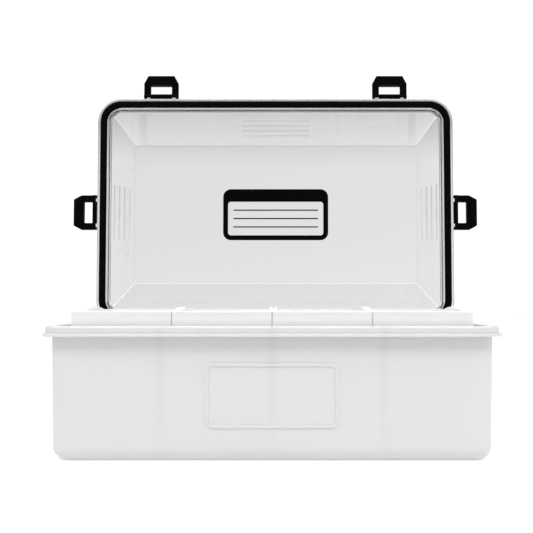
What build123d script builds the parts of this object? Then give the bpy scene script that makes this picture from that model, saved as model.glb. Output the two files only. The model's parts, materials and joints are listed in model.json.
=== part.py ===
from build123d import *
import math
import os

# A tackle box: a deep moulded base, four lift-out tubs standing in it, and a clear domed lid
# with a sealing gasket and four latches on a pair of rear hinges.
# Millimetres. X runs from left to right, Y from front to back and Z up.
# The origin is the middle of the base's underside. The lid stands open, as it rests.

# Base body
BODY_WIDTH = 300.0
BODY_DEPTH = 186.4
BASE_HEIGHT = 90.7
BODY_CORNER = 15.0
BODY_WALL = 3.0
BASE_FLOOR = 2.6
BODY_DRAFT = 0.45  # degrees
BOTTOM_ROUND = 9.3

# Turned-down rim of the base, with the lip that the latches hook under
RIM_OVERHANG = 4.4
RIM_DROP = 7.0
RIM_TOP = 2.4
RIM_SKIRT = 2.0
RIM_ROUND = 1.2
LIP_OVERHANG = 2.0
LIP_HEIGHT = 2.1
LIP_ROUND = 0.7

# Upright ribs inside the base, which keep the tubs in the middle
RIB_THICK = 2.4
RIB_PITCH_FRONT = 75.0
RIB_PITCH_SIDE = 50.0
RIB_BELOW_RIM = 5.0
RIB_LEAD_IN = 4.0
RIB_CLEARANCE = 0.5

# Blank label frame, raised on the front wall
LABEL_WIDTH = 90.0
LABEL_HEIGHT = 43.5
LABEL_CORNER = 6.0
LABEL_LINE = 2.2
LABEL_PROUD = 0.6
LABEL_MIDDLE = 44.5

# Lift-out tubs, in one row
TUB_COUNT = 4
TUB_GAP = 0.2
TUB_SIDE_MARGIN = 10.0
TUB_FRONT_MARGIN = 10.2
TUB_RISE = 9.9
TUB_WALL = 1.8
TUB_FLOOR = 2.0
TUB_CORNER = 2.0
TUB_BOTTOM_ROUND = 1.8
TUB_INNER_CORNER = 3.4
TUB_INNER_ROUND = 2.4
TUB_COLLAR = 0.6
TUB_COLLAR_HEIGHT = 13.0
TUB_COLLAR_CORNER = 1.2
TUB_COLLAR_ROUND = 0.54
TAB_LENGTH = 80.0
TAB_RISE = 2.3

# Clear lid: flange, collar, sloping dome and flat panel
LID_GAP = 1.2
LID_OVERHANG = 0.4
LID_FLANGE = 5.0
LID_FLANGE_WIDTH = 9.6
LID_WALL = 2.2
LID_ROUND = 0.4
COLLAR_RISE = 6.0
COLLAR_RUN = 1.3
COLLAR_LEDGE = 0.3
DOME_RISE = 22.0
DOME_SIDE_RUN = 18.2
DOME_FRONT_RUN = 25.2
MITRE_ROUND = 1.2
PANEL_ROUND = 0.4
LID_OPEN = 93.65  # degrees

# Grip ribs on the dome's front and side walls
GRIP_COUNT = 4
GRIP_FRONT_PITCH = 5.1
GRIP_SIDE_PITCH = 6.0
GRIP_WIDTH = 1.2
GRIP_PROUD = 0.35
GRIP_FRONT_LENGTH = 60.0
GRIP_SIDE_LENGTH = 48.0

# Gasket in its groove under the lid's flange
GASKET_INSET = 2.05
GASKET_WIDTH = 5.95
GASKET_PROUD = 0.9
GASKET_ROUND = 1.9
GROOVE_DEPTH = 2.6
GROOVE_CLEARANCE = 0.1

# Latches, each on a pin through two lugs of the lid
LATCH_WIDTH = 30.0
LATCH_THICK = 3.4
LATCH_BARREL = 1.9
LATCH_PIN = 0.6
LATCH_PIN_OUT = 2.2
LATCH_PIN_RISE = 0.2
LATCH_TAIL = 18.1
LATCH_CORNER_ALONG = 6.9
LATCH_CORNER_ACROSS = 3.7
LATCH_END_ROUND = 0.9
LATCH_SIDE_GAP = 0.4
LATCH_LIP_CLEARANCE = 0.4
LATCH_SWING = 90.0  # degrees
WINDOW_WIDTH = 18.4
WINDOW_TOP = 1.6
HOOK_CLEARANCE = 0.6
HOOK_REACH = 1.8
HOOK_NOSE = 1.0
HOOK_HEIGHT = 2.6
HEEL_WIDTH = 2.0
HEEL_CLEARANCE = 0.2
LUG_THICK = 2.4
LUG_RADIUS = 1.1
LUG_ROOT = 1.2
LUG_CLEARANCE = 0.3
LUG_FROM_END = 4.0
FRONT_LATCH_FROM_END = 50.2
SIDE_LATCH_SETBACK = 2.1

# Rear hinges: a bracket on the base, a lug on the lid and a pin
HINGE_FROM_END = 49.3
HINGE_BEHIND_RIM = 5.5
HINGE_BELOW_RIM = 7.0
HINGE_WIDTH = 30.0
HINGE_LUG_WIDTH = 14.0
HINGE_SIDE_GAP = 0.4
HINGE_KNUCKLE = 3.2
HINGE_PIN = 1.3
HINGE_LIP_CLEARANCE = 0.5
BRACKET_THICK = 3.0
BRACKET_HEIGHT = 24.0
BRACKET_BELOW_LIP = 3.2
STOP_CLEARANCE = 0.2
STOP_THICK = 3.0
STOP_NEAR = 2.0
STOP_LENGTH = 5.5
BRACKET_EAR = 9.0
SCREW_DROP = 12.0
SCREW_SHANK = 1.4
SCREW_LENGTH = 9.0
SCREW_HEAD = 2.8
SCREW_HEAD_HEIGHT = 1.8
SCREW_CROSS_WIDTH = 0.7
SCREW_CROSS_LENGTH = 3.4
SCREW_CROSS_DEPTH = 1.0
BOSS_RADIUS = 3.6
BOSS_LENGTH = 4.0

# Pins turn freely in what swings and sit closely in what holds them
PIN_RUNNING = 0.06
PIN_HELD = 0.02

# Places that follow from the sizes above
RIM_WIDTH = BODY_WIDTH + 2 * RIM_OVERHANG
RIM_DEPTH = BODY_DEPTH + 2 * RIM_OVERHANG
RIM_CORNER = BODY_CORNER + RIM_OVERHANG
ROW_WIDTH = BODY_WIDTH - 2 * (BODY_WALL + TUB_SIDE_MARGIN)
TUB_WIDTH = (ROW_WIDTH - (TUB_COUNT - 1) * TUB_GAP) / TUB_COUNT
TUB_DEPTH = BODY_DEPTH - 2 * (BODY_WALL + TUB_FRONT_MARGIN)
TUB_TOP = BASE_HEIGHT + TUB_RISE
LID_PLANE = BASE_HEIGHT + LID_GAP
LIP_UNDERSIDE = BASE_HEIGHT - RIM_DROP
HINGE_Y = RIM_DEPTH / 2 + HINGE_BEHIND_RIM
HINGE_Z = BASE_HEIGHT - HINGE_BELOW_RIM
LID_WIDTH = RIM_WIDTH + 2 * LID_OVERHANG
LID_DEPTH = RIM_DEPTH + 2 * LID_OVERHANG
LID_CORNER = RIM_CORNER + LID_OVERHANG
FRONT_LATCH_SPREAD = BODY_WIDTH / 2 - FRONT_LATCH_FROM_END
HINGE_SPREAD = BODY_WIDTH / 2 - HINGE_FROM_END

# Turns the closed lid, and all that it carries, about the hinge to where it stands open
OPENED = Pos(0, HINGE_Y, HINGE_Z) * Rot(-LID_OPEN, 0, 0) * Pos(0, -HINGE_Y, -HINGE_Z)

# A latch's own frame has X along its pin, Y out from the lid's edge and Z up from the lid's plane
LUG_PLACES = [side * (LATCH_WIDTH / 2 - LUG_FROM_END) for side in (-1, 1)]
LATCH_SITES = {
    "front_left": Pos(-FRONT_LATCH_SPREAD, -LID_DEPTH / 2, LID_PLANE) * Rot(0, 0, 180),
    "front_right": Pos(FRONT_LATCH_SPREAD, -LID_DEPTH / 2, LID_PLANE) * Rot(0, 0, 180),
    "side_left": Pos(-LID_WIDTH / 2, SIDE_LATCH_SETBACK, LID_PLANE) * Rot(0, 0, 90),
    "side_right": Pos(LID_WIDTH / 2, SIDE_LATCH_SETBACK, LID_PLANE) * Rot(0, 0, -90),
}
HINGE_SIDES = {"left": -HINGE_SPREAD, "right": HINGE_SPREAD}


def slab(width, depth, corner, bottom, height):
    """A block with rounded upright corners."""
    return extrude(Pos(0, 0, bottom) * RectangleRounded(width, depth, corner), amount=height)


def taper(low, high):
    """A block between two levels, each given as width, depth, corner radius and height."""
    plans = [Pos(0, 0, z) * RectangleRounded(w, d, r) for w, d, r, z in (low, high)]
    return loft(plans, ruled=True)


def drafted(width, depth, corner, bottom, top, draft_top):
    """A block that narrows downwards by the body's draft from the level draft_top."""
    def level(z):
        inset = (draft_top - z) * math.tan(math.radians(BODY_DRAFT))
        return width - 2 * inset, depth - 2 * inset, corner - inset, z

    return taper(level(bottom), level(top))


def top_edges(solid):
    return solid.faces().sort_by(Axis.Z)[-1].edges()


def bottom_edges(solid):
    return solid.faces().sort_by(Axis.Z)[0].edges()


def across(profile, width):
    """Extrudes a profile drawn in Y and Z by a width centred on X."""
    return extrude(Plane.YZ * profile, amount=width / 2, both=True)


def polygon(*points):
    return make_face(Polyline(*points, close=True))


def span(y_low, y_high, z_low, z_high):
    """A rectangle in a profile, from its limits."""
    middle = Pos((y_low + y_high) / 2, (z_low + z_high) / 2)
    return middle * Rectangle(y_high - y_low, z_high - z_low)


def rod(radius, length, y, z):
    """A round bar along X."""
    return across(Pos(y, z) * Circle(radius), length)


def guide_rib(face, wall):
    """A rib that stands between a wall and the tub face in front of it, along Y."""
    top = BASE_HEIGHT - RIB_BELOW_RIM
    near = face + RIB_CLEARANCE
    profile = polygon(
        (near, 0), (wall, 0), (wall, top), (near + RIB_LEAD_IN, top), (near, top - RIB_LEAD_IN)
    )
    return across(profile, RIB_THICK)


def guide_ribs():
    front = guide_rib(TUB_DEPTH / 2, BODY_DEPTH / 2)
    side = guide_rib(ROW_WIDTH / 2, BODY_WIDTH / 2)
    ribs = []
    for step in (-1, 0, 1):
        for turn in (0, 180):
            ribs.append(Rot(0, 0, turn) * Pos(step * RIB_PITCH_FRONT, 0, 0) * front)
            ribs.append(Rot(0, 0, turn + 90) * Pos(step * RIB_PITCH_SIDE, 0, 0) * side)
    return ribs


def screw_places():
    """The screws' axes, on the rear wall's outside face."""
    z = LIP_UNDERSIDE - BRACKET_BELOW_LIP - SCREW_DROP
    for x in HINGE_SIDES.values():
        for side in (-1, 1):
            ear = side * (HINGE_WIDTH + BRACKET_EAR) / 2
            yield Pos(x + ear, BODY_DEPTH / 2, z) * Rot(-90, 0, 0)


def peg(place, radius, start, length):
    """A round bar along a screw's axis, from start, measured outwards from the wall."""
    return place * Pos(0, 0, start) * extrude(Circle(radius), amount=length)


def base_rim():
    rim = slab(RIM_WIDTH, RIM_DEPTH, RIM_CORNER, LIP_UNDERSIDE, RIM_DROP)
    rim = fillet(top_edges(rim), RIM_ROUND)
    lip = slab(
        RIM_WIDTH + 2 * LIP_OVERHANG,
        RIM_DEPTH + 2 * LIP_OVERHANG,
        RIM_CORNER + LIP_OVERHANG,
        LIP_UNDERSIDE,
        LIP_HEIGHT,
    )
    lip = fillet(top_edges(lip) + bottom_edges(lip), LIP_ROUND)
    channel = slab(
        RIM_WIDTH - 2 * RIM_SKIRT,
        RIM_DEPTH - 2 * RIM_SKIRT,
        RIM_CORNER - RIM_SKIRT,
        LIP_UNDERSIDE,
        RIM_DROP - RIM_TOP,
    )
    return rim + lip - channel


def label_frame():
    """The raised outline of the label place on the front wall."""
    outer = RectangleRounded(LABEL_WIDTH, LABEL_HEIGHT, LABEL_CORNER)
    inner = RectangleRounded(
        LABEL_WIDTH - 2 * LABEL_LINE, LABEL_HEIGHT - 2 * LABEL_LINE, LABEL_CORNER - LABEL_LINE
    )
    lean = (BASE_HEIGHT - LABEL_MIDDLE) * math.tan(math.radians(BODY_DRAFT))
    wall_face = BODY_DEPTH / 2 - lean
    sunk = Pos(0, -wall_face + BODY_WALL / 2, LABEL_MIDDLE) * Rot(90 + BODY_DRAFT, 0, 0)
    return sunk * extrude(outer - inner, amount=BODY_WALL / 2 + LABEL_PROUD)


def base_shell():
    body = drafted(BODY_WIDTH, BODY_DEPTH, BODY_CORNER, 0, BASE_HEIGHT, BASE_HEIGHT)
    body = fillet(bottom_edges(body), BOTTOM_ROUND)
    cavity = drafted(
        BODY_WIDTH - 2 * BODY_WALL,
        BODY_DEPTH - 2 * BODY_WALL,
        BODY_CORNER - BODY_WALL,
        BASE_FLOOR,
        BASE_HEIGHT,
        BASE_HEIGHT,
    )
    cavity = fillet(bottom_edges(cavity), BOTTOM_ROUND - BODY_WALL)
    bosses = [
        peg(place, BOSS_RADIUS, -BODY_WALL - BOSS_LENGTH, BODY_WALL + BOSS_LENGTH)
        for place in screw_places()
    ]
    holes = [
        peg(place, SCREW_SHANK + PIN_HELD, BRACKET_THICK - SCREW_LENGTH, SCREW_LENGTH)
        for place in screw_places()
    ]
    shell = body + base_rim() + label_frame()
    shell = shell - (cavity - guide_ribs() - bosses)
    return shell - holes


def tub():
    """One tub in the middle of the row: an open-topped bin with a collar and two lifting tabs."""
    width = TUB_WIDTH - 2 * TUB_COLLAR
    depth = TUB_DEPTH - 2 * TUB_COLLAR
    body = slab(width, depth, TUB_CORNER, BASE_FLOOR, TUB_TOP - BASE_FLOOR)
    body = fillet(bottom_edges(body), TUB_BOTTOM_ROUND)
    collar_foot = TUB_TOP - TUB_COLLAR_HEIGHT
    collar = slab(TUB_WIDTH, TUB_DEPTH, TUB_COLLAR_CORNER, collar_foot, TUB_COLLAR_HEIGHT)
    collar = fillet(top_edges(collar), TUB_COLLAR_ROUND)
    tab_arc = ThreePointArc(
        (-TAB_LENGTH / 2, TUB_TOP), (0, TUB_TOP + TAB_RISE), (TAB_LENGTH / 2, TUB_TOP)
    )
    foot = Polyline(
        (TAB_LENGTH / 2, TUB_TOP),
        (TAB_LENGTH / 2, collar_foot),
        (-TAB_LENGTH / 2, collar_foot),
        (-TAB_LENGTH / 2, TUB_TOP),
    )
    tabs = across(make_face(tab_arc.edges() + foot.edges()), width)
    cavity = slab(
        width - 2 * TUB_WALL,
        depth - 2 * TUB_WALL,
        TUB_INNER_CORNER,
        BASE_FLOOR + TUB_FLOOR,
        TUB_TOP + TAB_RISE - BASE_FLOOR - TUB_FLOOR,
    )
    cavity = fillet(bottom_edges(cavity), TUB_INNER_ROUND)
    return body + collar + tabs - cavity


def bend(run, wall):
    """How far out a wall moves the panel's edge, so that it is as thick round the bend as elsewhere."""
    return wall * math.tan(math.atan2(DOME_RISE, run) / 2)


def dome(wall):
    """The space under the dome, or its outside with a wall added."""
    opening = (
        LID_WIDTH - 2 * LID_FLANGE_WIDTH + 2 * wall,
        LID_DEPTH - 2 * LID_FLANGE_WIDTH + 2 * wall,
        LID_CORNER - LID_FLANGE_WIDTH + wall,
        LID_PLANE,
    )
    collar = (
        opening[0] - 2 * COLLAR_RUN,
        opening[1] - 2 * COLLAR_RUN,
        opening[2] - COLLAR_RUN,
        LID_PLANE + COLLAR_RISE,
    )
    foot = (collar[0] - 2 * COLLAR_LEDGE, collar[1] - 2 * COLLAR_LEDGE, MITRE_ROUND, collar[3])
    panel = (
        collar[0] - 2 * (DOME_SIDE_RUN + wall - bend(DOME_SIDE_RUN, wall)),
        collar[1] - 2 * (DOME_FRONT_RUN + wall - bend(DOME_FRONT_RUN, wall)),
        MITRE_ROUND,
        collar[3] + DOME_RISE + wall,
    )
    slopes = taper(foot, panel)
    slopes = fillet(top_edges(slopes), PANEL_ROUND)
    return taper(opening, collar) + (slopes & slab(*collar, DOME_RISE + wall))


def grip_ribs():
    """Low ribs along the outside of the dome's front and side walls."""
    ribs = []
    sites = (
        (0, LID_DEPTH / 2, DOME_FRONT_RUN, GRIP_FRONT_LENGTH, GRIP_FRONT_PITCH),
        (90, LID_WIDTH / 2, DOME_SIDE_RUN, GRIP_SIDE_LENGTH, GRIP_SIDE_PITCH),
        (-90, LID_WIDTH / 2, DOME_SIDE_RUN, GRIP_SIDE_LENGTH, GRIP_SIDE_PITCH),
    )
    rise = DOME_RISE + LID_WALL
    for turn, edge, run, length, pitch in sites:
        foot = edge - LID_FLANGE_WIDTH + LID_WALL - COLLAR_RUN - COLLAR_LEDGE
        outside_run = run + LID_WALL - bend(run, LID_WALL) - COLLAR_LEDGE
        slope = math.degrees(math.atan2(rise, outside_run))
        middle = Pos(0, outside_run / 2 - foot, LID_PLANE + COLLAR_RISE + rise / 2) * Rot(slope, 0, 0)
        for step in range(GRIP_COUNT):
            along = (step - (GRIP_COUNT - 1) / 2) * pitch
            rib = Pos(0, along, 0) * Box(length, GRIP_WIDTH, 2 * GRIP_PROUD)
            ribs.append(Rot(0, 0, turn) * middle * rib)
    return ribs


def ring(inset, width, bottom, height):
    """A flat band that follows the lid's edge."""
    outer, inner = (
        slab(LID_WIDTH - 2 * step, LID_DEPTH - 2 * step, LID_CORNER - step, bottom, height)
        for step in (inset, inset + width)
    )
    return outer - inner


def latch_lugs():
    """The pair of lugs that reach over one latch's barrel to its pin, in the latch's frame."""
    eye = Pos(LATCH_PIN_OUT, LATCH_PIN_RISE)
    top = LID_FLANGE - 2 * LID_ROUND
    far = LATCH_PIN_OUT + LUG_RADIUS
    arm = span(-LUG_ROOT, far, LATCH_PIN_RISE + LATCH_BARREL + LUG_CLEARANCE, top)
    post = span(LATCH_PIN_OUT - LUG_RADIUS, far, LATCH_PIN_RISE, top)
    profile = arm + post + eye * Circle(LUG_RADIUS) - eye * Circle(LATCH_PIN + PIN_HELD)
    lug = across(profile, LUG_THICK)
    return [Pos(x, 0, 0) * lug for x in LUG_PLACES]


def hinge_lug():
    """The lid's half of a hinge, hanging down behind the rim to the pin."""
    inner = RIM_DEPTH / 2 + LIP_OVERHANG + HINGE_LIP_CLEARANCE
    outer = HINGE_Y + HINGE_KNUCKLE
    web = span(inner, outer, HINGE_Z, LID_PLANE + LID_FLANGE)
    bridge = span(LID_DEPTH / 2 - LUG_ROOT, outer, LID_PLANE, LID_PLANE + LID_FLANGE)
    eye = Pos(HINGE_Y, HINGE_Z)
    profile = web + bridge + eye * Circle(HINGE_KNUCKLE)
    return across(profile - eye * Circle(HINGE_PIN + PIN_RUNNING), HINGE_LUG_WIDTH)


def lid_shell():
    flange = slab(LID_WIDTH, LID_DEPTH, LID_CORNER, LID_PLANE, LID_FLANGE)
    flange = fillet(top_edges(flange) + bottom_edges(flange), LID_ROUND)
    groove = ring(
        GASKET_INSET - GROOVE_CLEARANCE,
        GASKET_WIDTH + 2 * GROOVE_CLEARANCE,
        LID_PLANE,
        GROOVE_DEPTH,
    )
    shell = flange + dome(LID_WALL) + grip_ribs()
    for site in LATCH_SITES.values():
        shell = shell + [site * lug for lug in latch_lugs()]
    shell = shell + [Pos(x, 0, 0) * hinge_lug() for x in HINGE_SIDES.values()]
    return OPENED * (shell - dome(0) - groove)


def lid_gasket():
    top = LID_PLANE + GROOVE_DEPTH - GROOVE_CLEARANCE
    bottom = LID_PLANE - GASKET_PROUD
    band = ring(GASKET_INSET, GASKET_WIDTH, bottom, top - bottom)
    return OPENED * fillet(bottom_edges(band), GASKET_ROUND)


def closed_latch():
    """A latch as it hangs over the lip with the lid shut, in its own frame."""
    inner = LIP_OVERHANG + LATCH_LIP_CLEARANCE - LID_OVERHANG
    outer = inner + LATCH_THICK
    eye = Pos(LATCH_PIN_OUT, LATCH_PIN_RISE)
    heel_top = LATCH_PIN_RISE + LATCH_PIN_OUT - HEEL_CLEARANCE
    plate = span(inner, outer, -LATCH_TAIL, LATCH_PIN_RISE)
    plate = fillet(plate.vertices().sort_by(Axis.Y)[:2], LATCH_END_ROUND)
    heel = span(outer - HEEL_WIDTH, outer, LATCH_PIN_RISE, heel_top)
    heel = fillet(heel.vertices().sort_by(Axis.Y)[-2:].sort_by(Axis.X)[-1], LATCH_END_ROUND)
    profile = plate + heel + eye * Circle(LATCH_BARREL) - eye * Circle(LATCH_PIN + PIN_RUNNING)
    latch = across(profile, LATCH_WIDTH)
    for side in (-1, 1):
        edge = side * LATCH_WIDTH / 2
        cut = make_face(
            Polyline(
                (edge, -LATCH_TAIL),
                (edge - side * LATCH_CORNER_ACROSS, -LATCH_TAIL),
                (edge, -LATCH_TAIL + LATCH_CORNER_ALONG),
                close=True,
            )
        )
        latch = latch - extrude(Plane.XZ * cut, amount=2 * outer, both=True)
    hook_top = LIP_UNDERSIDE - LID_PLANE - HOOK_CLEARANCE
    window = span(inner - LATCH_THICK, outer + LATCH_THICK, hook_top, -WINDOW_TOP)
    hook = polygon(
        (inner - HOOK_REACH, hook_top),
        (inner + LATCH_THICK / 2, hook_top),
        (inner + LATCH_THICK / 2, hook_top - HOOK_HEIGHT),
        (inner, hook_top - HOOK_HEIGHT),
        (inner - HOOK_REACH, hook_top - HOOK_NOSE),
    )
    room = LUG_RADIUS + LUG_CLEARANCE
    swept = span(-room, 2 * outer, 0, 2 * outer) + span(0, 2 * outer, -room, 2 * outer)
    slot = eye * (Circle(room) + swept)
    slots = [Pos(x, 0, 0) * across(slot, LUG_THICK + 2 * LATCH_SIDE_GAP) for x in LUG_PLACES]
    return latch - across(window, WINDOW_WIDTH) + across(hook, WINDOW_WIDTH) - slots


def latch(site):
    """A latch swung out on its pin, as it rests on the open lid."""
    pin = Pos(0, LATCH_PIN_OUT, LATCH_PIN_RISE)
    swung = pin * Rot(LATCH_SWING, 0, 0) * Pos(0, -LATCH_PIN_OUT, -LATCH_PIN_RISE)
    return OPENED * site * swung * closed_latch()


def latch_pin(site):
    return OPENED * site * rod(LATCH_PIN, LATCH_WIDTH, LATCH_PIN_OUT, LATCH_PIN_RISE)


def hinge_bracket():
    """The base's half of a hinge: a plate on the rear wall, two arms with eyes, and a stop bar."""
    wall = BODY_DEPTH / 2
    top = LIP_UNDERSIDE - BRACKET_BELOW_LIP
    eye = Pos(HINGE_Y, HINGE_Z)
    near = HINGE_KNUCKLE + STOP_CLEARANCE
    stop_swing = eye * Rot(0, 0, -LID_OPEN)
    stop = stop_swing * span(near, near + STOP_THICK, STOP_NEAR, STOP_NEAR + STOP_LENGTH)
    low = stop.vertices().sort_by(Axis.Y)[0]
    far = stop.vertices().sort_by(Axis.X)[-1]
    plate = span(wall, wall + BRACKET_THICK, top - BRACKET_HEIGHT, top)
    gusset = polygon(
        (wall, top - BRACKET_HEIGHT),
        (wall + BRACKET_THICK, top - BRACKET_HEIGHT),
        (low.X, low.Y),
        (far.X, far.Y),
        (HINGE_Y + HINGE_KNUCKLE, top),
        (wall, top),
    )
    post = span(HINGE_Y - HINGE_KNUCKLE, HINGE_Y + HINGE_KNUCKLE, top - HINGE_KNUCKLE, HINGE_Z)
    arm_profile = gusset + stop + post + eye * Circle(HINGE_KNUCKLE)
    arm_profile = arm_profile - eye * Circle(HINGE_PIN + PIN_HELD)
    arm_width = (HINGE_WIDTH - HINGE_LUG_WIDTH) / 2 - HINGE_SIDE_GAP
    arm = across(arm_profile, arm_width)
    middle = (HINGE_WIDTH - arm_width) / 2
    bracket = across(plate, HINGE_WIDTH + 2 * BRACKET_EAR) + across(stop, HINGE_WIDTH)
    return bracket + [Pos(side * middle, 0, 0) * arm for side in (-1, 1)]


def hinge_screw(place):
    shank = peg(place, SCREW_SHANK, BRACKET_THICK - SCREW_LENGTH, SCREW_LENGTH)
    head = peg(place, SCREW_HEAD, BRACKET_THICK, SCREW_HEAD_HEIGHT)
    top = place * Pos(0, 0, BRACKET_THICK + SCREW_HEAD_HEIGHT - SCREW_CROSS_DEPTH / 2)
    slots = [
        top * Rot(0, 0, turn) * Box(SCREW_CROSS_LENGTH, SCREW_CROSS_WIDTH, SCREW_CROSS_DEPTH)
        for turn in (0, 90)
    ]
    return shank + head - slots


def bracket_holes():
    return [
        peg(place, SCREW_SHANK + PIN_HELD, 0, BRACKET_THICK) for place in screw_places()
    ]


def build():
    """Every piece of the box under its name."""
    pieces = {"base_shell": base_shell(), "lid_shell": lid_shell(), "lid_gasket": lid_gasket()}
    one_tub = tub()
    for number in range(TUB_COUNT):
        x = (number - (TUB_COUNT - 1) / 2) * (TUB_WIDTH + TUB_GAP)
        pieces[f"inner_tub_{number + 1}"] = Pos(x, 0, 0) * one_tub
    for name, site in LATCH_SITES.items():
        pieces[f"latch_{name}"] = latch(site)
        pieces[f"latch_pin_{name}"] = latch_pin(site)
    for name, x in HINGE_SIDES.items():
        pieces[f"hinge_bracket_{name}"] = Pos(x, 0, 0) * hinge_bracket() - bracket_holes()
        pieces[f"hinge_pin_{name}"] = Pos(x, 0, 0) * rod(HINGE_PIN, HINGE_WIDTH, HINGE_Y, HINGE_Z)
    pieces["hinge_screws"] = Compound(children=[hinge_screw(place) for place in screw_places()])
    return pieces


os.makedirs("parts", exist_ok=True)
for piece_name, piece in build().items():
    export_step(piece, f"parts/{piece_name}.step")
    print(piece_name, [round(v, 1) for v in piece.bounding_box().size])
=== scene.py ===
# %% [markdown]
# # A tackle box with a clear lid
# The box is a white moulded base with four white tubs standing in it, under a clear domed lid that carries a
# black gasket and four black latches. A CAD model of it comes in as a fixed frame, at its real size in
# metres. This lesson gives that frame a camera, light and finishes, and adds what is only printed on it.
# Lengths are written in millimetres unless a comment says metres, and MM turns them into Blender's metres.

# %% Load the frame
import json
import math

import bmesh
import bpy
from mathutils import Matrix, Vector


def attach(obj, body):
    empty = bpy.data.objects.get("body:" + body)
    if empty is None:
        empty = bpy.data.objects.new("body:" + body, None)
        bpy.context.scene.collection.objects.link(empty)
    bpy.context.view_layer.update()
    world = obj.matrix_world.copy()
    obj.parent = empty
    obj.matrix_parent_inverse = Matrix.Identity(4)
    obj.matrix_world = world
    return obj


MM = 0.001
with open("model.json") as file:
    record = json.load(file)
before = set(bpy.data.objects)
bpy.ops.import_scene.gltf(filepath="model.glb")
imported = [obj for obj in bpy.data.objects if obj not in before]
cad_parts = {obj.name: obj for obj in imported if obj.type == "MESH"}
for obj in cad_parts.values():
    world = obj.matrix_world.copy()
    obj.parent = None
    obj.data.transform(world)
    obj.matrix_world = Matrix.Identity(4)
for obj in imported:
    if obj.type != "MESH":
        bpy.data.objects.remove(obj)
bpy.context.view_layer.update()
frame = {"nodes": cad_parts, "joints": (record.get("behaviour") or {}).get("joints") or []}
nodes = frame["nodes"]
scene = bpy.context.scene

# %% [markdown]
# ## Camera
# The picture was taken level with the top of the tubs, almost square on, from about 0.8 m. A camera can be
# turned to frame the box, or kept level and shifted. A level camera with a small shift keeps upright edges
# upright, as a product photographer does, so that is used here. The focal length is found from how fast the
# rim narrows.

# %% Place the camera
IMAGE_SIDE = 533
FOCAL_PIXELS = 1053.9
OPTICAL_AXIS = (286.95, 298.2)  # pixels from the picture's upper left corner
CAMERA_PLACE = Vector((10.1, -797.8, 109.5)) * MM
SENSOR_WIDTH = 36.0

camera_data = bpy.data.cameras.new("studio_camera")
camera_data.sensor_width = SENSOR_WIDTH
camera_data.lens = FOCAL_PIXELS * SENSOR_WIDTH / IMAGE_SIDE
camera_data.shift_x = 0.5 - OPTICAL_AXIS[0] / IMAGE_SIDE
camera_data.shift_y = OPTICAL_AXIS[1] / IMAGE_SIDE - 0.5
camera = bpy.data.objects.new("studio_camera", camera_data)
camera.location = CAMERA_PLACE
camera.rotation_euler = (math.radians(90), 0, 0)
scene.collection.objects.link(camera)
scene.camera = camera
print("lens", round(camera_data.lens, 1), "mm")

# %% [markdown]
# ## Helpers for finishes
# Colours are given as seen on a screen, so they are written as sRGB hex, and one function turns them into the
# linear values that light is added up in. Another adds a shader node with its settings and links, so that
# each finish below reads as a short list of nodes.

# %% Colour, node and material helpers


def srgb(code):
    """The linear colour of an sRGB hex code."""
    parts = [int(code[at : at + 2], 16) / 255 for at in (0, 2, 4)]
    linear = [v / 12.92 if v <= 0.04045 else ((v + 0.055) / 1.055) ** 2.4 for v in parts]
    return (*linear, 1.0)


def add_node(tree, kind, settings=None, links=None):
    """Adds a node: settings are its properties or unlinked inputs, links are inputs and what feeds them."""
    node = tree.nodes.new(kind)
    for name, value in (settings or {}).items():
        if isinstance(name, int) or name in node.inputs:
            node.inputs[name].default_value = value
        else:
            setattr(node, name, value)
    for name, source in (links or {}).items():
        tree.links.new(source, node.inputs[name])
    return node


def per_mm(size):
    """The scale of a pattern whose features are this many millimetres across."""
    return 1 / (size * MM)


def new_finish(name):
    """An empty material, its node tree and the place on the piece, in metres."""
    material = bpy.data.materials.new(name)
    material.use_nodes = True
    tree = material.node_tree
    tree.nodes.clear()
    return material, tree, add_node(tree, "ShaderNodeTexCoord")


def put_on(material, *names):
    for name in names:
        nodes[name].data.materials.clear()
        nodes[name].data.materials.append(material)
    print(material.name, "on", len(names), "pieces")


# Sockets of a Mix node that blends colours
MIX_A = 6
MIX_B = 7
MIX_OUT = 2
print("half grey, 808080 on a screen, is", round(srgb("808080")[0], 3), "in light")

# %% [markdown]
# ## Floor and sky
# The box stands on a light table: a sheet of white acrylic that glows, so hardly any shadow is left, not even
# where the box touches it. A floor with a lamp under it could be built for real, but a pale floor with a glow
# of its own looks the same and renders without noise. The glow is weaker far away, so that the clear lid
# still shows against the floor behind it.

# %% Floor sheet
FLOOR_REACH = 6.0  # metres
FLOOR_SIDES = 96

bpy.ops.mesh.primitive_circle_add(vertices=FLOOR_SIDES, radius=FLOOR_REACH, fill_type="NGON")
floor = bpy.context.object
floor.name = "studio_floor"
print("floor sheet out to", FLOOR_REACH, "m")

# %% Opal acrylic of the floor
FLOOR_COLOURS = ("bcbcbc", "bfbfbf")
FLOOR_CLOUD_SIZE = 40.0
FLOOR_GLOW = (0.50, 0.23)  # close to the box, and far from it
GLOW_MIDDLE = (0.0, -0.25, 0.0)  # metres, a little in front of the box
GLOW_REACH = (0.50, 0.85)  # metres from its middle where the glow starts to fade, and where it is weakest

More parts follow.
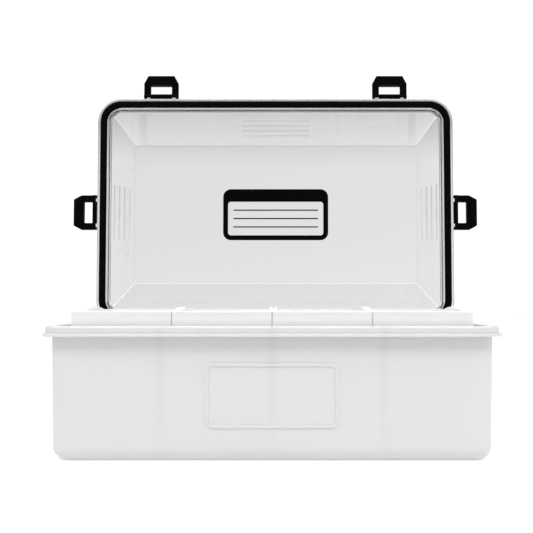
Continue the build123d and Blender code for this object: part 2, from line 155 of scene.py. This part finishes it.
# Opal acrylic: very pale and matt, with a faint cloudiness.
floor_finish, tree, place = new_finish("opal_acrylic_light_table")
cloud = add_node(
    tree, "ShaderNodeTexNoise", {"Scale": per_mm(FLOOR_CLOUD_SIZE)}, {"Vector": place.outputs["Object"]}
)
tint = add_node(
    tree,
    "ShaderNodeMix",
    {"data_type": "RGBA", MIX_A: srgb(FLOOR_COLOURS[0]), MIX_B: srgb(FLOOR_COLOURS[1])},
    {0: cloud.outputs["Fac"]},
)
from_middle = add_node(
    tree, "ShaderNodeVectorMath", {"operation": "DISTANCE", 1: GLOW_MIDDLE}, {0: place.outputs["Object"]}
)
glow = add_node(
    tree,
    "ShaderNodeMapRange",
    {
        "interpolation_type": "SMOOTHSTEP",
        "From Min": GLOW_REACH[0],
        "From Max": GLOW_REACH[1],
        "To Min": FLOOR_GLOW[0],
        "To Max": FLOOR_GLOW[1],
    },
    {"Value": from_middle.outputs["Value"]},
)
shader = add_node(
    tree,
    "ShaderNodeBsdfPrincipled",
    {"Roughness": 0.85, "Emission Color": srgb("ffffff")},
    {"Base Color": tint.outputs[MIX_OUT], "Emission Strength": glow.outputs["Result"]},
)
add_node(tree, "ShaderNodeOutputMaterial", None, {"Surface": shader.outputs["BSDF"]})
floor.data.materials.append(floor_finish)
print(floor_finish.name, "on the floor, glow from", FLOOR_GLOW[0], "near to", FLOOR_GLOW[1], "far")

# %% [markdown]
# The sky is a white tent: its wall is brightest low down and behind the box, and a ring of soft boxes hangs
# high up, brightest in front, so level faces and edges get more light than upright ones. Lamps could do this,
# but a sky worked out from its direction is soft and free of noise.

# %% Brightness of the sky
SKY_TO_CAMERA = 1.05  # the plain white that is seen behind the box
WALL_FRONT = 0.80
WALL_BACK = 0.85
WALL_TURN = (-0.1, 0.95)  # how far towards the back the wall starts to brighten, and where it is brightest
WALL_LEFT_TO_RIGHT = 0.24  # how much brighter the right end is than the left
WALL_HIGH = 0.44  # share of the wall's brightness that is left at its top
WALL_FADE = (0.115, 0.20)  # sine of the height where the wall starts to darken, and where it is darkest
RING_FRONT = 5.4
RING_BACK = 2.6
RING_TURN = (-0.25, 0.25)  # how far towards the back the ring starts to dim, and where it is dimmest
RING_FROM = (0.64, 0.80)  # sine of the height where the ring starts, and where it is full
RING_TO = (0.88, 0.93)  # where it starts to fade, and is gone
print("wall from", WALL_FRONT, "in front to", WALL_BACK, "behind, ring from", RING_FRONT, "to", RING_BACK)

# %% Directions in the sky
world = bpy.data.worlds.new("white_tent")
scene.world = world
world.use_nodes = True
sky = world.node_tree
sky.nodes.clear()
towards = add_node(sky, "ShaderNodeTexCoord")
axes = add_node(sky, "ShaderNodeSeparateXYZ", None, {"Vector": towards.outputs["Generated"]})
print("sky read along", len(axes.outputs), "axes")

# %% Levels of the wall and the ring
# Name, axis of the direction, where on it the level starts and ends, level there, and kind of step
SKY_LEVELS = (
    ("wall_depth", "Y", WALL_TURN, (WALL_FRONT, WALL_BACK), "SMOOTHSTEP"),
    ("wall_side", "X", (-1, 1), (-WALL_LEFT_TO_RIGHT / 2, WALL_LEFT_TO_RIGHT / 2), "LINEAR"),
    ("wall_height", "Z", WALL_FADE, (1, WALL_HIGH), "SMOOTHSTEP"),
    ("ring_depth", "Y", RING_TURN, (RING_FRONT, RING_BACK), "SMOOTHSTEP"),
    ("ring_foot", "Z", RING_FROM, (0, 1), "SMOOTHSTEP"),
    ("ring_top", "Z", RING_TO, (1, 0), "SMOOTHSTEP"),
)
# Name, operation, and the two levels that go into it
SKY_SUMS = (
    ("whole_wall", "ADD", "wall_depth", "wall_side"),
    ("faded_wall", "MULTIPLY", "whole_wall", "wall_height"),
    ("ring_over_foot", "MULTIPLY", "ring_depth", "ring_foot"),
    ("ring", "MULTIPLY", "ring_over_foot", "ring_top"),
    ("wall_and_ring", "ADD", "faded_wall", "ring"),
)

levels = {}
for name, axis, (start, end), (low, high), step in SKY_LEVELS:
    levels[name] = add_node(
        sky,
        "ShaderNodeMapRange",
        {"interpolation_type": step, "From Min": start, "From Max": end, "To Min": low, "To Max": high},
        {"Value": axes.outputs[axis]},
    ).outputs["Result"]
for name, operation, first, second in SKY_SUMS:
    levels[name] = add_node(
        sky, "ShaderNodeMath", {"operation": operation}, {0: levels[first], 1: levels[second]}
    ).outputs[0]
print("sky levels:", ", ".join(levels))

# %% Light from the sky
# Sockets of a Mix node that blends numbers
BLEND_A = 2
BLEND_B = 3

seen_by = add_node(sky, "ShaderNodeLightPath")
strength = add_node(
    sky,
    "ShaderNodeMix",
    {"data_type": "FLOAT", BLEND_B: SKY_TO_CAMERA},
    {0: seen_by.outputs["Is Camera Ray"], BLEND_A: levels["wall_and_ring"]},
)
light = add_node(
    sky, "ShaderNodeBackground", {"Color": srgb("ffffff")}, {"Strength": strength.outputs[0]}
)
add_node(sky, "ShaderNodeOutputWorld", None, {"Surface": light.outputs["Background"]})
scene.view_settings.view_transform = "Standard"
print("sky of", len(sky.nodes), "nodes")

# %% [markdown]
# ## White polypropylene
# The base and the tubs are injection-moulded polypropylene: a waxy white that lets a little light in, so deep
# corners and thin walls glow softly. The mould leaves a fine satin grain, and the melt a slight cloudiness.
# The grain could be displaced geometry, but it is hundredths of a millimetre deep, so a bump draws it.

# %% Moulded polypropylene
GRAIN_SIZE = 0.9  # the real grain is about 0.1 mm, and is drawn coarser so that it shows
GRAIN_DEPTH = 0.03
GRAIN_SHEEN = 0.05  # how much rougher or smoother the grain makes the surface
CLOUD_SIZE = 70.0
POLYPROPYLENE_IOR = 1.49
print("mould grain drawn", GRAIN_SIZE, "mm wide, cloudiness", CLOUD_SIZE, "mm wide")


def moulded_white(name, dark, light, roughness, glow_weight, glow_depth, tinted=None):
    """White moulded plastic that light sinks into by glow_depth millimetres; tinted may grey its colour."""
    material, tree, place = new_finish(name)
    cloud = add_node(
        tree,
        "ShaderNodeTexNoise",
        {"Scale": per_mm(CLOUD_SIZE), "Detail": 3.0},
        {"Vector": place.outputs["Object"]},
    )
    tint = add_node(
        tree,
        "ShaderNodeMix",
        {"data_type": "RGBA", MIX_A: srgb(dark), MIX_B: srgb(light)},
        {0: cloud.outputs["Fac"]},
    )
    if tinted:
        tint = tinted(tree, place, tint)
    grain = add_node(
        tree,
        "ShaderNodeTexNoise",
        {"Scale": per_mm(GRAIN_SIZE), "Detail": 2.0},
        {"Vector": place.outputs["Object"]},
    )
    sheen = add_node(
        tree,
        "ShaderNodeMapRange",
        {"To Min": roughness - GRAIN_SHEEN, "To Max": roughness + GRAIN_SHEEN},
        {"Value": grain.outputs["Fac"]},
    )
    relief = add_node(
        tree,
        "ShaderNodeBump",
        {"Strength": 0.25, "Distance": GRAIN_DEPTH * MM},
        {"Height": grain.outputs["Fac"]},
    )
    shader = add_node(
        tree,
        "ShaderNodeBsdfPrincipled",
        {
            "IOR": POLYPROPYLENE_IOR,
            "Subsurface Weight": glow_weight,
            "Subsurface Radius": (1.0, 1.0, 1.0),
            "Subsurface Scale": glow_depth * MM,
        },
        {
            "Base Color": tint.outputs[MIX_OUT],
            "Roughness": sheen.outputs["Result"],
            "Normal": relief.outputs["Normal"],
        },
    )
    add_node(tree, "ShaderNodeOutputMaterial", None, {"Surface": shader.outputs["BSDF"]})
    return material


# %% [markdown]
# Where a rib stands behind the base's thin wall, it keeps some light from coming through the plastic. That
# shade is painted: a slightly darker upright band at each rib, on the walls that face front and back, and on
# the side walls.

# %% Painted shade over the base's ribs
# Painted shade: a darker band over each rib that stands behind the wall
RIB_SHADE_HALF_WIDTH = 6.0
RIB_SHADE_COLOUR = "cecece"
RIB_SHADE_HEIGHTS = (8.0, 80.0)  # heights in millimetres where the painted shade is faintest and strongest
RIB_SHADE_FAINTEST = 0.35
# Axis along the wall, axis that the wall faces, and pitch of its ribs
WALL_RIB_PITCHES = ((0, 1, 75.0), (1, 0, 50.0))
RIBS_TO_A_WALL = 3
print("sink marks on", RIBS_TO_A_WALL, "ribs to a wall")


def with_painted_rib_shade(tree, place, tint):
    """Paints shade over each rib by darkening the colour."""
    along = add_node(tree, "ShaderNodeSeparateXYZ", None, {"Vector": place.outputs["Object"]})
    facing = add_node(tree, "ShaderNodeSeparateXYZ", None, {"Vector": place.outputs["Normal"]})
    height = add_node(
        tree,
        "ShaderNodeMapRange",
        {"From Min": RIB_SHADE_HEIGHTS[0] * MM, "From Max": RIB_SHADE_HEIGHTS[1] * MM, "To Min": RIB_SHADE_FAINTEST},
        {"Value": along.outputs["Z"]},
    )
    for axis, faced, pitch in WALL_RIB_PITCHES:
        from_rib = add_node(
            tree,
            "ShaderNodeMath",
            {"operation": "PINGPONG", 1: pitch / 2 * MM},
            {0: along.outputs[axis]},
        )
        band = add_node(
            tree,
            "ShaderNodeMapRange",
            {
                "interpolation_type": "SMOOTHSTEP",
                "From Max": RIB_SHADE_HALF_WIDTH * MM,
                "To Min": 1.0,
                "To Max": 0.0,
            },
            {"Value": from_rib.outputs[0]},
        )
        off_middle = add_node(tree, "ShaderNodeMath", {"operation": "ABSOLUTE"}, {0: along.outputs[axis]})
        has_rib = add_node(
            tree,
            "ShaderNodeMath",
            {"operation": "LESS_THAN", 1: RIBS_TO_A_WALL / 2 * pitch * MM},
            {0: off_middle.outputs[0]},
        )
        square_on = add_node(tree, "ShaderNodeMath", {"operation": "ABSOLUTE"}, {0: facing.outputs[faced]})
        factor = band.outputs["Result"]
        for part in (has_rib.outputs[0], square_on.outputs[0], height.outputs["Result"]):
            factor = add_node(
                tree, "ShaderNodeMath", {"operation": "MULTIPLY"}, {0: factor, 1: part}
            ).outputs[0]
        tint = add_node(
            tree,
            "ShaderNodeMix",
            {"data_type": "RGBA", MIX_B: srgb(RIB_SHADE_COLOUR)},
            {0: factor, MIX_A: tint.outputs[MIX_OUT]},
        )
    return tint


# %% [markdown]
# The tubs' outsides carry painted shade. Below the collar, the body's outside is painted a little greyer than
# the collar at the top. A second band of painted shade is strongest just under the rounded top edge, where a
# fine line shows, and fades a few millimetres further down. A face is on a tub's outside if it looks away
# from the tub's middle.

# %% Painted shade on the tubs' bodies and under their top edge
TUB_TOP = 100.6  # millimetres over the ground
# Painted shade on the tubs' outsides: a greyer body, and a grey band under the top edge
BODY_SHADE_COLOUR = "dadada"
BODY_SHADE_DEPTHS = (20.0, 12.0)  # millimetres under the top where the body starts to pale, and is palest
RIM_SHADE_COLOUR = "e7e7e7"
RIM_SHADE_DEPTHS = (5.5, 1.0)  # where the painted shade under the edge starts, and where it is strongest
RIM_SHADE_END_DEPTHS = (0.65, 0.35)  # where it starts to end, at the foot of the rounded edge, and is gone
TUB_PAINTED_SHADES = (
    (BODY_SHADE_COLOUR, ((BODY_SHADE_DEPTHS, 1.0, 0.0),)),
    (RIM_SHADE_COLOUR, ((RIM_SHADE_DEPTHS, 0.0, 1.0), (RIM_SHADE_END_DEPTHS, 1.0, 0.0))),
)
MIDDLE_OF_BOX = (0.5, 0.5, 0.5)
ONLY_LEVEL = (1, 1, 0)
print("tub body greyed from", BODY_SHADE_DEPTHS[1], "mm under the top, collar shaded from", RIM_SHADE_DEPTHS[0], "mm")


def with_painted_tub_shade(tree, place, tint):
    """Paints shade on the outside of the body, and of the collar just under its edge."""
    along = add_node(tree, "ShaderNodeSeparateXYZ", None, {"Vector": place.outputs["Object"]})
    from_middle = add_node(
        tree,
        "ShaderNodeVectorMath",
        {"operation": "SUBTRACT", 1: MIDDLE_OF_BOX},
        {0: place.outputs["Generated"]},
    )
    level = add_node(
        tree,
        "ShaderNodeVectorMath",
        {"operation": "MULTIPLY", 1: ONLY_LEVEL},
        {0: from_middle.outputs["Vector"]},
    )
    outwards = add_node(
        tree,
        "ShaderNodeVectorMath",
        {"operation": "DOT_PRODUCT"},
        {0: level.outputs["Vector"], 1: place.outputs["Normal"]},
    )
    outside = add_node(
        tree, "ShaderNodeMath", {"operation": "GREATER_THAN", 1: 0.0}, {0: outwards.outputs["Value"]}
    )
    for colour, ramps in TUB_PAINTED_SHADES:
        factor = outside.outputs[0]
        for depths, low, high in ramps:
            start, end = ((TUB_TOP - depth) * MM for depth in depths)
            part = add_node(
                tree,
                "ShaderNodeMapRange",
                {"From Min": start, "From Max": end, "To Min": low, "To Max": high},
                {"Value": along.outputs["Z"]},
            ).outputs["Result"]
            factor = add_node(
                tree, "ShaderNodeMath", {"operation": "MULTIPLY"}, {0: factor, 1: part}
            ).outputs[0]
        tint = add_node(
            tree,
            "ShaderNodeMix",
            {"data_type": "RGBA", MIX_B: srgb(colour)},
            {0: factor, MIX_A: tint.outputs[MIX_OUT]},
        )
    return tint


# %% White finishes on the base, brackets and tubs
BASE_LOOK = {"dark": "d1d1d1", "light": "d4d4d4", "roughness": 0.4, "glow_weight": 0.15, "glow_depth": 1.5}
TUB_LOOK = {"dark": "f9f9f9", "light": "fcfcfc", "roughness": 0.36, "glow_weight": 0.2, "glow_depth": 1.5}
# The base carries painted shade over its ribs.
base_white = moulded_white("moulded_white_polypropylene", **BASE_LOOK, tinted=with_painted_rib_shade)
bracket_white = moulded_white("moulded_white_hinge_polypropylene", **BASE_LOOK)
# The tubs carry painted shade on their outsides.
tub_white = moulded_white("moulded_bright_white_polypropylene", **TUB_LOOK, tinted=with_painted_tub_shade)
put_on(base_white, "base_shell")
put_on(bracket_white, *[name for name in nodes if name.startswith("hinge_bracket")])
put_on(tub_white, *[name for name in nodes if name.startswith("inner_tub")])

# %% [markdown]
# ## Clear polystyrene
# The lid is moulded in clear polystyrene, glossy on both sides, with the high refraction of that plastic. The
# CAD shell has its true wall thickness, so a plain refracting shader bends the black gasket into the thin
# dark lines that are seen along its collar. A slight absorption greys the places where the light travels far
# in the wall, and slow flow lines from moulding make the gloss a little uneven.

# %% Clear moulded polystyrene of the lid
FLOW_SIZE = 35.0
FLOW_DEPTH = 0.02
CLEAR_ROUGHNESS = (0.02, 0.06)
POLYSTYRENE_IOR = 1.55  # typically 1.59, matched to the lid
GREYING_COLOUR = "bcbcbc"
GREYING_DENSITY = 60.0
clear_lid, tree, place = new_finish("clear_moulded_polystyrene")
flow = add_node(
    tree,
    "ShaderNodeTexNoise",
    {"Scale": per_mm(FLOW_SIZE), "Detail": 4.0, "Distortion": 1.2},
    {"Vector": place.outputs["Object"]},
)
gloss = add_node(
    tree,
    "ShaderNodeMapRange",
    {"To Min": CLEAR_ROUGHNESS[0], "To Max": CLEAR_ROUGHNESS[1]},
    {"Value": flow.outputs["Fac"]},
)
ripple = add_node(
    tree, "ShaderNodeBump", {"Strength": 0.15, "Distance": FLOW_DEPTH * MM}, {"Height": flow.outputs["Fac"]}
)
shader = add_node(
    tree,
    "ShaderNodeBsdfPrincipled",
    {"Base Color": srgb("ffffff"), "IOR": POLYSTYRENE_IOR, "Transmission Weight": 1.0},
    {"Roughness": gloss.outputs["Result"], "Normal": ripple.outputs["Normal"]},
)
greying = add_node(
    tree, "ShaderNodeVolumeAbsorption", {"Color": srgb(GREYING_COLOUR), "Density": GREYING_DENSITY}
)
add_node(
    tree,
    "ShaderNodeOutputMaterial",
    None,
    {"Surface": shader.outputs["BSDF"], "Volume": greying.outputs["Volume"]},
)
put_on(clear_lid, "lid_shell")

# %% [markdown]
# ## Rubber, nylon and steel
# The gasket is a soft black rubber cord with a dull skin. The latches are black nylon from a lightly etched
# mould, with worn, smoother places. The pins and screws are drawn steel, whose fine lines run along the wire.
# All three are dark or small, so their detail is in the gloss: it changes how the light lies on them as the
# view turns.

# %% Black rubber of the gasket
BLACKS = ("020202", "060606")
BLACK_SPECULAR = 0.03  # far duller than a usual 0.5, matched to how black the pieces are
RUBBER_SKIN_SIZE = 1.6  # the real skin is finer, about 0.3 mm, and is drawn coarser so that it shows
RUBBER_SKIN_DEPTH = 0.05
RUBBER_ROUGHNESS = (0.45, 0.65)
black_rubber, tree, place = new_finish("extruded_black_rubber")
skin = add_node(
    tree,
    "ShaderNodeTexNoise",
    {"Scale": per_mm(RUBBER_SKIN_SIZE), "Detail": 3.0},
    {"Vector": place.outputs["Object"]},
)
tint = add_node(
    tree,
    "ShaderNodeMix",
    {"data_type": "RGBA", MIX_A: srgb(BLACKS[0]), MIX_B: srgb(BLACKS[1])},
    {0: skin.outputs["Fac"]},
)
sheen = add_node(
    tree,
    "ShaderNodeMapRange",
    {"To Min": RUBBER_ROUGHNESS[0], "To Max": RUBBER_ROUGHNESS[1]},
    {"Value": skin.outputs["Fac"]},
)
relief = add_node(
    tree,
    "ShaderNodeBump",
    {"Strength": 0.3, "Distance": RUBBER_SKIN_DEPTH * MM},
    {"Height": skin.outputs["Fac"]},
)
shader = add_node(
    tree,
    "ShaderNodeBsdfPrincipled",
    {"Specular IOR Level": BLACK_SPECULAR},
    {
        "Base Color": tint.outputs[MIX_OUT],
        "Roughness": sheen.outputs["Result"],
        "Normal": relief.outputs["Normal"],
    },
)
add_node(tree, "ShaderNodeOutputMaterial", None, {"Surface": shader.outputs["BSDF"]})
put_on(black_rubber, "lid_gasket")

# %% Black nylon of the latches
ETCH_SIZE = 0.6  # a spark-etched mould leaves pits of about 0.1 mm, drawn coarser so that they show
ETCH_DEPTH = 0.04
WORN_SIZE = 12.0
NYLON_ROUGHNESS = (0.35, 0.6)
black_nylon, tree, place = new_finish("etched_black_nylon")
etch = add_node(
    tree, "ShaderNodeTexVoronoi", {"Scale": per_mm(ETCH_SIZE)}, {"Vector": place.outputs["Object"]}
)
worn = add_node(
    tree,
    "ShaderNodeTexNoise",
    {"Scale": per_mm(WORN_SIZE), "Detail": 4.0},
    {"Vector": place.outputs["Object"]},
)
tint = add_node(
    tree,
    "ShaderNodeMix",
    {"data_type": "RGBA", MIX_A: srgb(BLACKS[0]), MIX_B: srgb(BLACKS[1])},
    {0: worn.outputs["Fac"]},
)
sheen = add_node(
    tree,
    "ShaderNodeMapRange",
    {"To Min": NYLON_ROUGHNESS[0], "To Max": NYLON_ROUGHNESS[1]},
    {"Value": worn.outputs["Fac"]},
)
relief = add_node(
    tree,
    "ShaderNodeBump",
    {"Strength": 0.25, "Distance": ETCH_DEPTH * MM},
    {"Height": etch.outputs["Distance"]},
)
shader = add_node(
    tree,
    "ShaderNodeBsdfPrincipled",
    {"Specular IOR Level": BLACK_SPECULAR},
    {
        "Base Color": tint.outputs[MIX_OUT],
        "Roughness": sheen.outputs["Result"],
        "Normal": relief.outputs["Normal"],
    },
)
add_node(tree, "ShaderNodeOutputMaterial", None, {"Surface": shader.outputs["BSDF"]})
latch_names = [name for name in nodes if name.startswith("latch_") and "pin" not in name]
put_on(black_nylon, *latch_names)

# %% Drawn steel of the pins and screws
DRAW_LINE_SIZE = 0.25  # real draw lines are about 0.05 mm apart, and are drawn coarser so that they show
DRAW_LINE_STRETCH = 40.0
STEEL_COLOURS = ("a9abae", "c6c7c9")
STEEL_ROUGHNESS = (0.22, 0.4)
drawn_steel, tree, place = new_finish("drawn_steel")
along_wire = add_node(
    tree,
    "ShaderNodeMapping",
    {"Scale": (1 / DRAW_LINE_STRETCH, 1.0, 1.0)},
    {"Vector": place.outputs["Object"]},
)
lines = add_node(
    tree,
    "ShaderNodeTexNoise",
    {"Scale": per_mm(DRAW_LINE_SIZE), "Detail": 2.0},
    {"Vector": along_wire.outputs["Vector"]},
)
tint = add_node(
    tree,
    "ShaderNodeMix",
    {"data_type": "RGBA", MIX_A: srgb(STEEL_COLOURS[0]), MIX_B: srgb(STEEL_COLOURS[1])},
    {0: lines.outputs["Fac"]},
)
sheen = add_node(
    tree,
    "ShaderNodeMapRange",
    {"To Min": STEEL_ROUGHNESS[0], "To Max": STEEL_ROUGHNESS[1]},
    {"Value": lines.outputs["Fac"]},
)
shader = add_node(
    tree,
    "ShaderNodeBsdfPrincipled",
    {"Metallic": 1.0},
    {"Base Color": tint.outputs[MIX_OUT], "Roughness": sheen.outputs["Result"]},
)
add_node(tree, "ShaderNodeOutputMaterial", None, {"Surface": shader.outputs["BSDF"]})
put_on(drawn_steel, *[name for name in nodes if "pin" in name or "screw" in name])

# %% [markdown]
# ## Softened edges
# Moulded parts have no razor edges: the mould's corners are broken by a few tenths of a millimetre. The CAD
# keeps them sharp, and a bevel on the finished mesh rounds them where it shows, on the latches and the
# brackets.

# %% Break the edges of the latches and brackets
BROKEN_EDGE = 0.3
EDGE_STEPS = 2
EDGE_ANGLE = 40.0  # degrees
WELD_REACH = 0.001  # joins only points that lie in the same place

edged = [name for name in nodes if name in latch_names or name.startswith("hinge_bracket")]
for name in edged:
    weld = nodes[name].modifiers.new("weld", "WELD")
    weld.merge_threshold = WELD_REACH * MM
    bevel = nodes[name].modifiers.new("broken_edge", "BEVEL")
    bevel.width = BROKEN_EDGE * MM
    bevel.segments = EDGE_STEPS
    bevel.limit_method = "ANGLE"
    bevel.angle_limit = math.radians(EDGE_ANGLE)
    bevel.harden_normals = True
print("edges broken by", BROKEN_EDGE, "mm on", len(edged), "pieces")

# %% [markdown]
# ## Printed write-on label
# The lid's panel carries a black print on its inside, where rubbing can't reach it: a plain label to write
# on, with a frame, a filled heading and ruled lines. It could be a texture on the panel, but an image isn't
# needed for shapes this simple, and a thin mesh keeps the ink's edge sharp. It is drawn flat on the shut lid,
# and turned open about the hinge with the lid.

# %% Outlines of the print
CORNER_STEPS = 8
print("rounded corners of", CORNER_STEPS, "steps")


def rounded_outline(width, depth, corner, middle=0.0):
    """Points round a rectangle with rounded corners, in millimetres, moved along Y to its middle."""
    points = []
    for quarter, (side_x, side_y) in enumerate(((1, 1), (-1, 1), (-1, -1), (1, -1))):
        centre_x = side_x * (width / 2 - corner)
        centre_y = middle + side_y * (depth / 2 - corner)
        for step in range(CORNER_STEPS + 1):
            turn = math.radians(90) * (quarter + step / CORNER_STEPS)
            points.append((centre_x + corner * math.cos(turn), centre_y + corner * math.sin(turn)))
    return points


def add_ink(mesh, low, high, outer, inner=None):
    """A thin slab of ink inside an outline, or between two outlines with as many points."""
    bottom, top = ([mesh.verts.new((x, y, z)) for x, y in outer] for z in (low, high))
    rings = [bottom, top]
    if inner:
        rings += [[mesh.verts.new((x, y, z)) for x, y in inner] for z in (high, low)]
        rings.append(bottom)
    else:
        mesh.faces.new(top)
        mesh.faces.new(reversed(bottom))
    for near, far in zip(rings, rings[1:]):
        for at in range(len(outer)):
            after = (at + 1) % len(outer)
            mesh.faces.new((near[at], near[after], far[after], far[at]))


# %% Draw the label on the shut lid
LABEL_WIDTH = 94.0
LABEL_DEPTH = 46.0
LABEL_CORNER = 7.0
LABEL_BORDER = 4.4
HEADING_DEPTH = 7.0
RULE_COUNT = 3
RULE_THICK = 1.1
RULE_LENGTH = 76.0
INK_THICK = 0.04
INK_GAP = 0.01  # keeps the ink clear of the panel's own face
LID_WALL = 2.2  # thickness of the panel

hinge = next(joint for joint in frame["joints"] if joint["name"] == "lid_hinge")
hinge_place = Matrix.Translation(hinge["pos_m"])
shut_turn = Matrix.Rotation(math.radians(hinge["range_deg"][0]), 4, Vector(hinge["axis"]))
shutting = hinge_place @ shut_turn @ hinge_place.inverted()
panel_outside = max((shutting @ vertex.co).z for vertex in nodes["lid_shell"].data.vertices)
ink_high = panel_outside / MM - LID_WALL - INK_GAP
ink_low = ink_high - INK_THICK

ink = bmesh.new()
frame_outline = rounded_outline(LABEL_WIDTH, LABEL_DEPTH, LABEL_CORNER)
frame_opening = rounded_outline(
    LABEL_WIDTH - 2 * LABEL_BORDER,
    LABEL_DEPTH - 2 * LABEL_BORDER - HEADING_DEPTH,
    LABEL_CORNER - LABEL_BORDER,
    HEADING_DEPTH / 2,
)
add_ink(ink, ink_low, ink_high, frame_outline, frame_opening)
rule_pitch = (LABEL_DEPTH - 2 * LABEL_BORDER - HEADING_DEPTH) / (RULE_COUNT + 1)
first_rule = -LABEL_DEPTH / 2 + LABEL_BORDER + HEADING_DEPTH + rule_pitch
for number in range(RULE_COUNT):
    rule = rounded_outline(RULE_LENGTH, RULE_THICK, RULE_THICK / 2, first_rule + number * rule_pitch)
    add_ink(ink, ink_low, ink_high, rule)
print("label of", RULE_COUNT, "rules drawn at", round(ink_high, 2), "mm over the ground")

# %% Turn the label open with the lid, and give it its ink
SCREEN_SIZE = 0.5  # a print screen has about 60 threads to a centimetre, drawn coarser so that it shows
INK_ROUGHNESS = (0.5, 0.65)
bmesh.ops.transform(ink, matrix=shutting.inverted() @ Matrix.Scale(MM, 4), verts=ink.verts)
bmesh.ops.recalc_face_normals(ink, faces=ink.faces)
label_mesh = bpy.data.meshes.new("lid_label_print")
ink.to_mesh(label_mesh)
ink.free()
label = bpy.data.objects.new("lid_label_print", label_mesh)
scene.collection.objects.link(label)

# Dense black ink, a little dull, with the faint weave of the screen in its film.
black_ink, tree, place = new_finish("screen_printed_black_ink")
weave = add_node(
    tree, "ShaderNodeTexVoronoi", {"Scale": per_mm(SCREEN_SIZE)}, {"Vector": place.outputs["Object"]}
)
tint = add_node(
    tree,
    "ShaderNodeMix",
    {"data_type": "RGBA", MIX_A: srgb(BLACKS[0]), MIX_B: srgb(BLACKS[1])},
    {0: weave.outputs["Distance"]},
)
sheen = add_node(
    tree,
    "ShaderNodeMapRange",
    {"To Min": INK_ROUGHNESS[0], "To Max": INK_ROUGHNESS[1]},
    {"Value": weave.outputs["Distance"]},
)
shader = add_node(
    tree,
    "ShaderNodeBsdfPrincipled",
    {"Specular IOR Level": BLACK_SPECULAR},
    {"Base Color": tint.outputs[MIX_OUT], "Roughness": sheen.outputs["Result"]},
)
add_node(tree, "ShaderNodeOutputMaterial", None, {"Surface": shader.outputs["BSDF"]})
label_mesh.materials.append(black_ink)
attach(label, "lid")
print("label print of", len(label_mesh.polygons), "faces rides on the lid")
